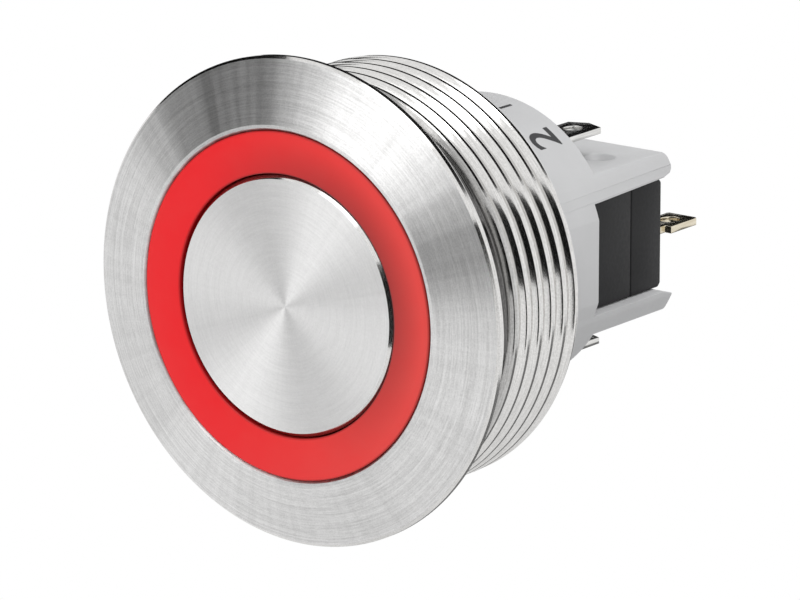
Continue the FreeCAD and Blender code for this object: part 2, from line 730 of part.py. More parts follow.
def make_terminal(label, centre, inner_end, arm=None):
    """Flat terminal with a solder lug, and an arm inside the switch where it has one."""
    body = new_body(label)
    neck = "terminal_width / 2"
    lug = "lug_width / 2"
    lug_front = f"( {SWITCH_REAR} + lug_neck_length )"
    lug_rear = f"( {SWITCH_REAR} + lug_length )"
    sketch = new_sketch(body, "blade_outline", "XY_Plane")
    add_polygon(sketch, [
        (f"0 - {neck}", inner_end),
        (neck, inner_end),
        (neck, lug_front),
        (lug, lug_front),
        (lug, f"{lug_rear} - lug_tip_bevel"),
        (f"{lug} - lug_tip_bevel", lug_rear),
        (f"lug_tip_bevel - {lug}", lug_rear),
        (f"0 - {lug}", f"{lug_rear} - lug_tip_bevel"),
        (f"0 - {lug}", lug_front),
        (f"0 - {neck}", lug_front),
    ])
    add_circle(sketch, "0", f"( {lug_front} + {lug_rear} ) / 2", "lug_hole_radius")
    pad_both_ways(body, "blade", sketch, "terminal_thickness")
    if arm:
        left, right, front = arm
        sketch = new_sketch(body, "arm_outline", "XY_Plane")
        add_rectangle(sketch, left, right, front, f"{front} + arm_thickness")
        pad_both_ways(body, "arm", sketch, "arm_width")
    place(body, across=centre, up="0 - terminal_drop")


def make_terminals():
    """The three terminals: common, normally open and normally closed."""
    pivot_rear = f"{LEAF_REAR} + seat_clearance"
    make_terminal("terminal_common", f"( 0 - {TERMINAL_OFFSET} )", pivot_rear)
    open_front = f"( {open_contact_front()} + contact_height )"
    open_arm = ("0", f"{CONTACT_OFFSET} + contact_radius", open_front)
    make_terminal("terminal_open", "0", open_front, open_arm)
    closed_front = f"( {closed_contact_rear()} - contact_height - arm_thickness )"
    closed_left = f"{CONTACT_OFFSET} - contact_radius - {TERMINAL_OFFSET}"
    closed_arm = (closed_left, "0", closed_front)
    make_terminal("terminal_closed", TERMINAL_OFFSET, closed_front, closed_arm)


def open_contact_front():
    """Station of the fixed contact that the leaf reaches when the button is pressed."""
    return f"( {LEAF_REAR} + contact_height + {TIP_SWING} + contact_clearance * 2 )"


def closed_contact_rear():
    """Station of the fixed contact that the leaf rests against."""
    return f"( {LEAF_FRONT} - contact_height - contact_clearance )"


def make_fixed_contacts():
    """Contact rivets on the arms of the open and the closed terminal."""
    make_contact("contact_open", open_contact_front())
    make_contact("contact_closed", f"( {closed_contact_rear()} - contact_height )")


def make_contact(label, front):
    """A round contact seated on a terminal's arm."""
    contact = doc.addObject("Part::Cylinder", label)
    contact.Label = label
    contact.setExpression("Radius", term("contact_radius"))
    contact.setExpression("Height", term("contact_height"))
    turned = FreeCAD.Rotation(FreeCAD.Vector(1, 0, 0), -90)
    contact.Placement = FreeCAD.Placement(FreeCAD.Vector(), turned)
    contact.setExpression(".Placement.Base.x", term(CONTACT_OFFSET))
    contact.setExpression(".Placement.Base.y", term(front))


def make_leaf():
    """Spring leaf that pivots at the common terminal, with a hole for its contact."""
    body = new_body("contact_leaf")
    sketch = new_sketch(body, "leaf_outline", "XZ_Plane", f"0 - {LEAF_FRONT}")
    half = "leaf_width / 2"
    tip = f"{CONTACT_OFFSET} + leaf_tip_overhang"
    root = f"0 - {PIVOT_OFFSET} - leaf_tip_overhang"
    add_polygon(sketch, [
        (root, f"0 - {half}"),
        (f"{tip} - contact_radius", f"0 - {half}"),
        (tip, f"contact_radius - {half}"),
        (tip, f"{half} - contact_radius"),
        (f"{tip} - contact_radius", half),
        (root, half),
    ])
    add_circle(sketch, CONTACT_OFFSET, "0", "rivet_neck_radius + seat_clearance")
    leaf = body.newObject("PartDesign::Pad", "leaf")
    leaf.Profile = sketch
    leaf.Reversed = True
    leaf.setExpression("Length", term("leaf_thickness"))


def make_moving_contact():
    """Double-sided contact rivet through the tip of the leaf."""
    body = new_body("moving_contact")
    turn(body, "rivet", [
        ("0", f"{LEAF_FRONT} - contact_height"),
        ("contact_radius", f"{LEAF_FRONT} - contact_height"),
        ("contact_radius", LEAF_FRONT),
        ("rivet_neck_radius", LEAF_FRONT),
        ("rivet_neck_radius", LEAF_REAR),
        ("contact_radius", LEAF_REAR),
        ("contact_radius", f"{LEAF_REAR} + contact_height"),
        ("0", f"{LEAF_REAR} + contact_height"),
    ])
    place(body, across=CONTACT_OFFSET)


def build():
    """Make every sub-part."""
    make_housing()
    make_light_ring()
    make_button_cap()
    make_button_seal()
    make_pusher()
    make_spring()
    make_lamp_board()
    make_lamps()
    make_lamp_tab("lamp_tab_upper", "1")
    make_lamp_tab("lamp_tab_lower", "( 0 - 1 )")
    make_keeper()
    make_carrier()
    make_switch_cover()
    make_switch_base()
    make_switch_actuator()
    make_terminals()
    make_fixed_contacts()
    make_leaf()
    make_moving_contact()
    doc.recompute()


def sub_parts():
    """The objects that are sub-parts: bodies, the contacts and the spring."""
    kinds = ("PartDesign::Body", "Part::Cylinder", "Part::Feature")
    return [item for item in doc.Objects if item.TypeId in kinds]


def check_all():
    """Stop if any object failed or any sub-part isn't one valid solid."""
    for item in doc.Objects:
        if "Invalid" in item.State or "Error" in item.State:
            raise RuntimeError(f"{item.Label} failed: {item.State}")
    for item in sub_parts():
        shape = item.Shape
        if shape.isNull() or not shape.isValid() or len(shape.Solids) != 1:
            raise RuntimeError(f"{item.Label} isn't one valid solid")
        print(f"{item.Label}: {shape.Volume:.3f} mm3")


def export():
    """Write each sub-part under its node's name."""
    os.makedirs("parts", exist_ok=True)
    for item in sub_parts():
        item.Shape.exportStep(f"parts/{item.Label}.step")


build()
check_all()
export()
swing = math.degrees(math.atan(value(f"leaf_lift / {LEVER}")))
print(f"button travel {value('button_travel')} mm, leaf swing {swing:.2f} degrees")
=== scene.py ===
# Illuminated metal pushbutton for a round panel hole, with a snap-action switch on its rear.
# The axis of the button runs along Y, its face looks along -Y and +Z is up.
# Sizes are in millimetres and are turned into metres where they meet Blender.

import math

import bpy
from mathutils import Matrix, Quaternion, Vector


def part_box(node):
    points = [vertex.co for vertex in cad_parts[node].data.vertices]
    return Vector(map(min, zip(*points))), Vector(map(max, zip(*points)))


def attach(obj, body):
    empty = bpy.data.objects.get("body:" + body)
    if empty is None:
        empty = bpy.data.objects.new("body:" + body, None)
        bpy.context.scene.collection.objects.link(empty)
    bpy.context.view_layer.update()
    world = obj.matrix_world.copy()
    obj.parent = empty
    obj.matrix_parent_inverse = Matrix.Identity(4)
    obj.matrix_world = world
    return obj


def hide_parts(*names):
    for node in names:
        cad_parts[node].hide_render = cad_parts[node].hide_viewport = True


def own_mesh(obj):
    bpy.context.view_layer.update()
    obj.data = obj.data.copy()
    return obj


MM = 0.001

# Steps of a full turn, the same for the barrel and for the tool that threads it
STEPS = 256

# Stations along the axis
FACE = -1.35
RIM_FRONT = -0.45
GROOVE_FRONT = 0.54
GROOVE_REAR = 1.66
CAP_FLOOR = 2.04
SHOULDER = 2.6
RING_FOOT = 2.62
RING_REAR = 3.42
CAP_REAR = 3.42
SPRING_FRONT = 4.5
BOARD_FRONT = 5.22
CARRIER_FRONT = 6.24
CARRIER_STEP = 7.54
KEEPER_REAR = 8.06
KEEPER_GROOVE_REAR = 8.08
BARREL_END = 8.55
SPRING_REAR = 10.74
WELL_FLOOR = 11.0
WINDOW_FLOOR = 15.3
POCKET_FLOOR = 15.65
SWITCH_FRONT = 15.67
COLLAR_REAR = 16.2
CHAMBER_FRONT = 16.87
PEG_STATION = 18.67
SWITCH_SPLIT = 19.47
TAB_TIP = 20.1
SWITCH_REAR = 22.17
RAIL_END = 22.55
LUG_FRONT = 23.47
LUG_REAR = 25.92

# Radii
STEM_HOLE = 1.98
SPRING_COIL = 3.35
SPRING_WIRE = 0.238
SPRING_WELL = 3.91
CAP_RECESS = 4.6
SEAL_GROOVE = 5.62
BUTTON = 6.66
RING_INNER = 6.74
COLLAR = 7.65
RING_OUTER = 8.88
RING_HOLE = 8.9
FOOT = 9.22
BORE = 9.3
KEEPER_GROOVE = 9.6
UNDERCUT = 10.35
BARREL = 11.0
SEAT_INNER = 11.15
FLANGE = 12.5

# Places across and up
COLLAR_FLAT = 7.34
UPPER_RAIL_TOP = 4.25
LOWER_RAIL_BOTTOM = -4.2
SWITCH_SIDE = 6.4
SWITCH_TOP = 2.9
POCKET_TOP = 2.95
PEG = 4.75
TERMINAL = 5.2
TERMINAL_TOP = 0.0
TERMINAL_BOTTOM = -0.4
TAB = 3.28
TAB_HEIGHT = 5.61
OUTSIDE = 9

# Thread and spring
THREAD_DEPTH = 0.5
THREAD_PITCH = 1.02
THREAD_PHASE = 1.125
THREAD_TURNS = 9
SPRING_TURNS = 4.5

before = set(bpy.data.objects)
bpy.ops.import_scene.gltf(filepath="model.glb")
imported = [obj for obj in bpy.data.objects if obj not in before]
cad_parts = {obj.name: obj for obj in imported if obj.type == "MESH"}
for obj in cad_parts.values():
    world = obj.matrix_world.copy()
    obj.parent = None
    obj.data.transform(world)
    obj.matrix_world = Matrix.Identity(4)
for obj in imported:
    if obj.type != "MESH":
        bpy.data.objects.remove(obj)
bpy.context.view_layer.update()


def only(piece):
    """Select one piece and make it the active one."""
    if bpy.context.object and bpy.context.object.mode != "OBJECT":
        bpy.ops.object.mode_set(mode="OBJECT")
    bpy.ops.object.select_all(action="DESELECT")
    piece.select_set(True)
    bpy.context.view_layer.objects.active = piece


def edit(piece):
    """Open a piece for editing with all of it selected."""
    only(piece)
    bpy.ops.object.mode_set(mode="EDIT")
    bpy.ops.mesh.select_mode(type="VERT")
    bpy.ops.mesh.select_all(action="SELECT")


def close_edit():
    """Merge doubled points, turn the faces outwards and leave edit mode."""
    bpy.ops.mesh.select_all(action="SELECT")
    bpy.ops.mesh.remove_doubles(threshold=0.0004 * MM)
    bpy.ops.mesh.normals_make_consistent(inside=False)
    bpy.ops.object.mode_set(mode="OBJECT")


def draw_outline(name, points):
    """A closed outline through the points, drawn by extruding one corner along and back to it."""
    bpy.ops.object.select_all(action="DESELECT")
    bpy.ops.mesh.primitive_plane_add(size=MM)
    piece = bpy.context.object
    piece.name = name
    edit(piece)
    bpy.ops.mesh.merge(type="CENTER")
    bpy.ops.transform.translate(value=Vector(points[0]) * MM)
    corners = list(points[1:]) + [points[0]]
    here = Vector(points[0])
    for corner in corners:
        stroke = (Vector(corner) - here) * MM
        bpy.ops.mesh.extrude_vertices_move(TRANSFORM_OT_translate={"value": stroke})
        here = Vector(corner)
    bpy.ops.mesh.select_all(action="SELECT")
    bpy.ops.mesh.remove_doubles(threshold=0.0004 * MM)
    return piece


def turned(name, profile, steps=STEPS):
    """A solid turned about the axis from a closed profile of (radius, station) points."""
    piece = draw_outline(name, [(radius, station, 0) for radius, station in profile])
    bpy.ops.mesh.select_all(action="SELECT")
    bpy.ops.mesh.spin(steps=steps, angle=math.tau, center=(0, 0, 0), axis=(0, 1, 0))
    close_edit()
    return piece


def wind(piece, angle, rise, steps, rounds=1):
    """Sweep a drawn outline along a helix about the axis and close its two ends."""
    bpy.ops.object.mode_set(mode="OBJECT")
    screw = piece.modifiers.new("helix", "SCREW")
    screw.axis = "Y"
    screw.angle = angle
    screw.screw_offset = rise * MM
    screw.iterations = rounds
    screw.steps = steps
    screw.render_steps = steps
    finish_modifier(piece, screw.name)
    edit(piece)
    bpy.ops.mesh.fill_holes(sides=0)
    close_edit()


def slab(name, points, move):
    """A plate with a flat outline, pushed out along a direction."""
    piece = draw_outline(name, points)
    bpy.ops.mesh.select_all(action="SELECT")
    bpy.ops.mesh.edge_face_add()
    bpy.ops.mesh.extrude_region_move(TRANSFORM_OT_translate={"value": Vector(move) * MM})
    close_edit()
    return piece


def block(name, low, high):
    """A box between two corners."""
    corners = [(low[0], low[1], low[2]), (high[0], low[1], low[2]),
               (high[0], high[1], low[2]), (low[0], high[1], low[2])]
    return slab(name, corners, (0, 0, high[2] - low[2]))


def span(side, near, far):
    """The lower and the upper end of a span on one side of the axis."""
    return sorted((side * near, side * far))


def rod(name, centre, radius, length, axis, steps=64, tip_radius=None):
    """A round bar or taper centred on a point, along X, Y or Z."""
    turn = {"X": (0, math.pi / 2, 0), "Y": (-math.pi / 2, 0, 0), "Z": (0, 0, 0)}[axis]
    far = radius if tip_radius is None else tip_radius
    bpy.ops.object.select_all(action="DESELECT")
    bpy.ops.mesh.primitive_cone_add(vertices=steps, radius1=radius * MM, radius2=far * MM,
                                    depth=length * MM, location=Vector(centre) * MM, rotation=turn)
    piece = bpy.context.object
    piece.name = name
    bpy.ops.object.transform_apply(location=True, rotation=True, scale=True)
    return piece


def finish_modifier(piece, name):
    """Apply one modifier of a piece."""
    only(piece)
    bpy.ops.object.modifier_apply(modifier=name)


def carve(piece, *cutters):
    """Take the cutters' shapes away from a piece."""
    for cutter in cutters:
        combine(piece, cutter, "DIFFERENCE")


def fuse(piece, *others):
    """Grow a piece by other solids."""
    for other in others:
        combine(piece, other, "UNION")


def combine(piece, other, operation):
    """Join or cut two solids exactly and drop the second one."""
    modifier = piece.modifiers.new("solid", "BOOLEAN")
    modifier.operation = operation
    modifier.solver = "EXACT"
    modifier.object = other
    finish_modifier(piece, modifier.name)
    bpy.data.objects.remove(other)


def soften(piece, width, rows=2, sharper_than=30):
    """Round every edge that is sharper than an angle."""
    modifier = piece.modifiers.new("soft_edges", "BEVEL")
    modifier.width = width * MM
    modifier.segments = rows
    modifier.limit_method = "ANGLE"
    modifier.angle_limit = math.radians(sharper_than)
    modifier.use_clamp_overlap = False
    modifier.harden_normals = False
    finish_modifier(piece, modifier.name)


def tidy_flats(piece):
    """Merge the slivers that cutting leaves on flat faces."""
    edit(piece)
    bpy.ops.mesh.dissolve_limited(angle_limit=math.radians(0.2))
    close_edit()


def smooth(piece, angle=28):
    """Shade the curved faces smooth and keep the edges crisp."""
    only(piece)
    bpy.ops.object.shade_smooth_by_angle(angle=math.radians(angle))


def settle(piece, body, node, slot, *materials):
    """Give a finished piece its body and finishes and hide the node that it stands for; the slot is not
    used.
    """
    piece.data.materials.clear()
    for material in materials:
        piece.data.materials.append(material)
    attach(piece, body)
    if node:
        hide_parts(node)


def finish_behind(piece, station):
    """Use the piece's second finish on the faces behind a station."""
    for face in piece.data.polygons:
        if face.center.y > station * MM:
            face.material_index = 1


class Finish:
    """A material's node tree with short calls for the nodes that the finishes share."""

    def __init__(self, name, **settings):
        self.material = bpy.data.materials.new(name)
        self.material.use_nodes = True
        self.tree = self.material.node_tree
        self.shader = self.tree.nodes["Principled BSDF"]
        for socket, setting in settings.items():
            self.shader.inputs[socket.replace("_", " ")].default_value = setting
        self.place = self.add("ShaderNodeTexCoord").outputs["Object"]

    def add(self, kind, **settings):
        """A new node of a kind, with its settings."""
        node = self.tree.nodes.new(kind)
        for key, setting in settings.items():
            setattr(node, key, setting)
        return node

    def link(self, source, target):
        """Lead one node's result into a socket."""
        self.tree.links.new(source, target)

    def maths(self, operation, first, second=0.0):
        """A sum on two values, each a number or a node's result."""
        node = self.add("ShaderNodeMath", operation=operation)
        for socket, source in zip(node.inputs, (first, second)):
            if isinstance(source, (int, float)):
                socket.default_value = source
            else:
                self.link(source, socket)
        return node.outputs[0]

    def vector(self, operation, first, second=None):
        """A sum on one or two vectors."""
        node = self.add("ShaderNodeVectorMath", operation=operation)
        for socket, source in zip(node.inputs, (first, second)):
            if source is None:
                continue
            if isinstance(source, tuple):
                socket.default_value = source
            else:
                self.link(source, socket)
        return node.outputs["Value" if operation in ("LENGTH", "DOT_PRODUCT") else "Vector"]

    def noise(self, place, scale=1.0, detail=2.0, roughness=0.5):
        """Cloudy values about a half."""
        node = self.add("ShaderNodeTexNoise")
        node.inputs["Scale"].default_value = scale
        node.inputs["Detail"].default_value = detail
        node.inputs["Roughness"].default_value = roughness
        self.link(place, node.inputs["Vector"])
        return node.outputs["Fac"]

    def weigh(self, first, share, second, other_share):
        """Add two values, each times its share."""
        return self.maths("ADD", self.maths("MULTIPLY", first, share),
                          self.maths("MULTIPLY", second, other_share))

    def spread(self, source, low, high, middle=0.5, reach=0.25):
        """Map a value about its middle to a range."""
        node = self.add("ShaderNodeMapRange")
        self.link(source, node.inputs["Value"])
        node.inputs["From Min"].default_value = middle - reach
        node.inputs["From Max"].default_value = middle + reach
        node.inputs["To Min"].default_value = low
        node.inputs["To Max"].default_value = high
        return node.outputs["Result"]

    def tint(self, source, dark, light, shade=None):
        """Colour the surface between two shades by a value from 0 to 1, dimmed by a shade."""
        node = self.add("ShaderNodeMix", data_type="RGBA")
        self.link(source, node.inputs["Factor"])
        colours = [socket for socket in node.inputs if socket.type == "RGBA"]
        colours[0].default_value = (*dark, 1)
        colours[1].default_value = (*light, 1)
        result = [socket for socket in node.outputs if socket.type == "RGBA"][0]
        if shade is not None:
            result = self.vector("SCALE", result)
            self.link(shade, result.node.inputs["Scale"])
        self.link(result, self.shader.inputs["Base Color"])

    def roughen(self, source, low, high):
        """Spread the roughness over a range."""
        self.link(self.spread(source, low, high), self.shader.inputs["Roughness"])

    def relief(self, source, height):
        """Raise the surface by a height in millimetres where the source is 1."""
        node = self.add("ShaderNodeBump")
        node.inputs["Strength"].default_value = 1.0
        node.inputs["Distance"].default_value = height * MM
        self.link(source, node.inputs["Height"])
        self.link(node.outputs["Normal"], self.shader.inputs["Normal"])

    def along(self):
        """The station of the surface along the button's axis, in metres."""
        parts = self.add("ShaderNodeSeparateXYZ")
        self.link(self.place, parts.inputs["Vector"])
        return parts.outputs["Y"]

    def from_axis(self):
        """The vector from the button's axis to the surface."""
        return self.vector("MULTIPLY", self.place, (1, 0, 1))

    def lathe_place(self, across, around):
        """Coordinates that run fast along the tool's path and slowly round the axis."""
        flat = self.from_axis()
        path = self.maths("ADD", self.vector("LENGTH", flat), self.along())
        spoke = self.vector("SCALE", self.vector("NORMALIZE", flat))
        spoke.node.inputs["Scale"].default_value = around
        lines = self.add("ShaderNodeCombineXYZ")
        self.link(self.maths("MULTIPLY", path, across), lines.inputs["Y"])
        return self.vector("ADD", spoke, lines.outputs["Vector"])

    def grain_along_radius(self):
        """Stretch the highlights along the radius, square to the lines of the lathe."""
        self.link(self.vector("NORMALIZE", self.from_axis()), self.shader.inputs["Tangent"])


def lathe_faced_steel(name, roughness, relief, darkest):
    """Stainless steel faced in a lathe: fine concentric lines, highlights along the radius."""
    finish = Finish(name, Metallic=1.0, Anisotropic=0.85)
    finish.grain_along_radius()
    short = finish.noise(finish.lathe_place(across=17000, around=24), detail=3, roughness=0.6)
    long = finish.noise(finish.lathe_place(across=9000, around=2.5))
    speck = finish.noise(finish.place, 13000, roughness=0.6)
    rays = finish.noise(finish.lathe_place(across=30, around=14), detail=3, roughness=0.6)
    cut = finish.weigh(finish.weigh(short, 0.3, long, 0.4), 1, speck, 0.3)
    shade = finish.weigh(cut, 0.75, rays, 0.25)
    finish.tint(finish.spread(shade, 0, 1, reach=0.1), darkest, (0.84, 0.837, 0.833))
    finish.roughen(rays, roughness - 0.05, roughness + 0.05)
    finish.relief(cut, relief)
    return finish.material


def turned_steel():
    """Stainless steel of the barrel, bright from the threading tool, with painted shade in the undercut
    behind the flange.
    """
    finish = Finish("turned_steel", Metallic=1.0)
    lines = finish.noise(finish.lathe_place(across=22000, around=12))
    speck = finish.noise(finish.place, 9000, detail=3)
    cut = finish.weigh(lines, 0.6, speck, 0.4)
    # Painted shade: the barrel is darkened about station 1.9 mm, in the undercut where the flange's shadow
    # falls.
    from_undercut = finish.maths("ABSOLUTE", finish.maths("SUBTRACT", finish.along(), 1.9 * MM))
    painted_flange_shade = finish.spread(from_undercut, -0.82, 0, middle=1.0 * MM, reach=0.5 * MM)
    shade = finish.maths("ADD", finish.spread(cut, 0.7, 1, reach=0.16), painted_flange_shade)
    # The dark colour is the painted shadow colour and is reached only through the painted flange shade.
    finish.tint(finish.maths("MAXIMUM", shade, 0), (0.1, 0.098, 0.096), (0.82, 0.812, 0.798))
    finish.roughen(cut, 0.08, 0.15)
    finish.relief(cut, 0.0012)
    return finish.material


def red_lens():
    """Translucent red plastic of the lit ring, with a painted sheen that makes it paler towards +X, and
    painted shade on its inner part at the upper right and along both edges.
    """
    finish = Finish("red_lens", Roughness=0.42, Specular_IOR_Level=0.3, Subsurface_Weight=0.08,
                    Subsurface_Scale=0.6 * MM)
    radius = finish.vector("LENGTH", finish.from_axis())
    cloud = finish.noise(finish.place, 900, detail=3)
    rightward = finish.vector("DOT_PRODUCT", finish.place, (1, 0, 0))
    upper_rightward = finish.vector("DOT_PRODUCT", finish.place, (0.87, 0, 0.5))
    # Painted sheen: the paler colour towards +X stands in for a sheen of reflected light.
    right = finish.spread(rightward, 0, 1, middle=2 * MM, reach=6.5 * MM)
    # Painted shade: the inner part of the ring towards the upper right is darkened.
    painted_shade_upper_right = finish.spread(upper_rightward, 0, 0.5, middle=2.5 * MM, reach=4.5 * MM)
    inside = finish.spread(radius, 1, 0, middle=7.65 * MM, reach=0.85 * MM)
    # Painted shade: a thin band along the inner and outer edges is darkened, where the gaps beside the ring
    # shade it.
    off_middle = finish.maths("ABSOLUTE", finish.maths("SUBTRACT", radius, 7.81 * MM))
    edges = finish.spread(off_middle, 0, 0.45, middle=1.02 * MM, reach=0.05 * MM)
    painted_ring_shade = finish.maths("ADD", finish.maths("MULTIPLY", painted_shade_upper_right, inside), edges)
    # The red runs from the plain colour to the paler painted sheen colour and is dimmed by the painted
    # shade.
    finish.tint(finish.weigh(cloud, 0.2, right, 0.85), (0.92, 0.006, 0.013), (0.82, 0.07, 0.06),
                finish.maths("SUBTRACT", 1, painted_ring_shade))
    finish.relief(finish.noise(finish.lathe_place(across=9000, around=20)), 0.0012)
    return finish.material


def moulded_plastic(name, dark, light, roughness, grain=0.003, shine=0.5):
    """Moulded plastic with a fine matt grain and a slightly uneven colour."""
    finish = Finish(name, Specular_IOR_Level=shine)
    cloud = finish.noise(finish.place, 260)
    finish.tint(finish.spread(cloud, 0, 1), dark, light)
    speck = finish.noise(finish.place, 5000, detail=3)
    finish.roughen(speck, roughness - 0.05, roughness + 0.05)
    finish.relief(speck, grain)
    return finish.material


def plated_metal(name, dark, light, roughness):
    """Thin plated or rolled metal with faint streaks along its length."""
    finish = Finish(name, Metallic=1.0)
    streaks = finish.noise(finish.vector("MULTIPLY", finish.place, (7000, 900, 7000)), detail=3)
    finish.tint(finish.spread(streaks, 0, 1), dark, light)
    finish.roughen(streaks, roughness - 0.05, roughness + 0.07)
    finish.relief(streaks, 0.0015)
    return finish.material


face_steel = lathe_faced_steel("face_steel", 0.34, 0.003, (0.58, 0.577, 0.573))
button_steel = lathe_faced_steel("button_steel", 0.36, 0.0008, (0.74, 0.737, 0.734))
barrel_steel = turned_steel()
lens = red_lens()
seal_rubber = moulded_plastic("seal_rubber", (0.012, 0.012, 0.013), (0.02, 0.02, 0.021), 0.55)
pusher_plastic = moulded_plastic("pusher_plastic", (0.08, 0.08, 0.085), (0.11, 0.11, 0.115), 0.5)
carrier_plastic = moulded_plastic("carrier_plastic", (0.52, 0.522, 0.528), (0.57, 0.572, 0.578), 0.45)
switch_plastic = moulded_plastic("switch_plastic", (0.0075, 0.0076, 0.0085), (0.0135, 0.0136, 0.015), 0.5,
                                 grain=0.006, shine=0.28)
actuator_plastic = moulded_plastic("actuator_plastic", (0.55, 0.1, 0.07), (0.63, 0.13, 0.09), 0.4)
board_lacquer = moulded_plastic("board_lacquer", (0.015, 0.12, 0.05), (0.02, 0.16, 0.07), 0.35)
lamp_resin = moulded_plastic("lamp_resin", (0.75, 0.55, 0.42), (0.85, 0.65, 0.5), 0.3)
print_ink = moulded_plastic("print_ink", (0.02, 0.02, 0.022), (0.035, 0.035, 0.037), 0.5)
spring_steel = plated_metal("spring_steel", (0.5, 0.5, 0.51), (0.6, 0.6, 0.61), 0.28)
tin_plate = plated_metal("tin_plate", (0.62, 0.615, 0.6), (0.78, 0.775, 0.76), 0.14)
terminal_plate = plated_metal("terminal_plate", (0.62, 0.55, 0.42), (0.82, 0.76, 0.62), 0.16)
leaf_bronze = plated_metal("leaf_bronze", (0.66, 0.42, 0.24), (0.74, 0.5, 0.3), 0.25)
contact_silver = plated_metal("contact_silver", (0.78, 0.77, 0.75), (0.86, 0.85, 0.83), 0.18)


def thread_cutter():
    """The groove of a right-handed 60 degree thread that leaves rounded crests."""
    flank = math.tan(math.radians(30))
    root = BARREL - THREAD_DEPTH
    shoulder = BARREL - 0.1
    brow = BARREL - 0.04
    top = BARREL + 0.02
    half_root = 0.05
    half_shoulder = half_root + (shoulder - root) * flank
    half_brow = half_shoulder + 0.05
    half_top = half_brow + 0.13
    middle = THREAD_PHASE + THREAD_PITCH / 2
    piece = draw_outline("thread_groove", [
        (top, middle - half_top, 0),
        (brow, middle - half_brow, 0),
        (shoulder, middle - half_shoulder, 0),
        (root, middle - half_root, 0),
        (root, middle + half_root, 0),
        (shoulder, middle + half_shoulder, 0),
        (brow, middle + half_brow, 0),
        (top, middle + half_top, 0),
    ])
    wind(piece, math.tau, THREAD_PITCH, STEPS, THREAD_TURNS)
    return piece


def make_housing():
    """Flange with its shallow cone, undercut and threaded barrel, turned from one bar."""
    piece = turned("steel_housing", [
        (RING_HOLE, FACE + 0.16),
        (RING_HOLE + 0.12, FACE),
        (RING_HOLE + 0.3, FACE),
        (FLANGE - 0.13, RIM_FRONT - 0.03),
        (FLANGE, RIM_FRONT + 0.1),
        (FLANGE, -0.1),
        (FLANGE - 0.03, -0.03),
        (FLANGE - 0.1, 0),
        (SEAT_INNER, 0),
        (UNDERCUT, -0.12),
        (UNDERCUT, 1.4),
        (BARREL, 2.05),
        (BARREL, BARREL_END - 0.3),
        (BARREL - 0.05, BARREL_END - 0.2),
        (BARREL - 0.35, BARREL_END),
        (BORE + 0.1, BARREL_END),
        (BORE, BARREL_END - 0.1),
        (BORE, KEEPER_GROOVE_REAR),
        (KEEPER_GROOVE, KEEPER_GROOVE_REAR),
        (KEEPER_GROOVE, CARRIER_STEP),
        (BORE, CARRIER_STEP),
        (BORE, SHOULDER),
        (RING_HOLE, SHOULDER),
    ])
    carve(piece, thread_cutter())
    smooth(piece, 13)
    settle(piece, "housing", "housing", "stainless", face_steel, barrel_steel)
    finish_behind(piece, RIM_FRONT)


def make_light_ring():
    """Lit ring, flush with the face, with its foot behind the housing's shoulder."""
    piece = turned("red_ring", [
        (RING_INNER, FACE + 0.05),
        (RING_INNER + 0.04, FACE + 0.015),
        (RING_INNER + 0.09, FACE),
        (RING_OUTER - 0.09, FACE),
        (RING_OUTER - 0.04, FACE + 0.015),
        (RING_OUTER, FACE + 0.05),
        (RING_OUTER, RING_FOOT),
        (FOOT, RING_FOOT),
        (FOOT, BOARD_FRONT - 0.02),
        (FOOT - 0.6, BOARD_FRONT - 0.02),
        (FOOT - 0.6, RING_REAR),
        (RING_INNER, RING_REAR),
    ])
    smooth(piece)
    settle(piece, "housing", "light_ring", "red_lens", lens)


def make_button():
    """Turned button with a bright bevelled edge, a seal groove and a recess behind."""
    piece = turned("steel_button", [
        (0, FACE),
        (BUTTON - 0.19, FACE),
        (BUTTON - 0.01, FACE + 0.18),
        (BUTTON, FACE + 0.2),
        (BUTTON, GROOVE_FRONT),
        (SEAL_GROOVE, GROOVE_FRONT),
        (SEAL_GROOVE, GROOVE_REAR),
        (BUTTON, GROOVE_REAR),
        (BUTTON, CAP_REAR),
        (CAP_RECESS, CAP_REAR),
        (CAP_RECESS, CAP_FLOOR),
        (0, CAP_FLOOR),
    ])
    smooth(piece, 13)
    settle(piece, "button", "button_cap", "stainless_button", button_steel, barrel_steel)
    finish_behind(piece, FACE + 0.05)


def make_seal():
    """Rubber seal of square section, with soft corners, in the button's groove."""
    inner = SEAL_GROOVE + 0.02
    outer = RING_INNER - 0.02
    front = GROOVE_FRONT + 0.02
    rear = GROOVE_REAR - 0.02
    piece = turned("rubber_seal", [
        (inner, front + 0.12), (inner + 0.04, front + 0.04), (inner + 0.12, front),
        (outer - 0.12, front), (outer - 0.04, front + 0.04), (outer, front + 0.12),
        (outer, rear - 0.12), (outer - 0.04, rear - 0.04), (outer - 0.12, rear),
        (inner + 0.12, rear), (inner + 0.04, rear - 0.04), (inner, rear - 0.12),
    ], 128)
    smooth(piece, 50)
    settle(piece, "button", "button_seal", "seal_rubber", seal_rubber)


def make_spring():
    """Return spring of round wire, coiled from the pusher's stop to the floor of the well."""
    around_wire = [math.tau * step / 16 for step in range(16)]
    piece = draw_outline("coil_spring", [
        (SPRING_COIL + SPRING_WIRE * math.cos(turn), SPRING_FRONT + SPRING_WIRE * math.sin(turn), 0)
        for turn in around_wire])
    wind(piece, math.tau * SPRING_TURNS, SPRING_REAR - SPRING_FRONT, 216)
    smooth(piece, 40)
    settle(piece, "housing", "return_spring", "spring_steel", spring_steel)
    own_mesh(piece)


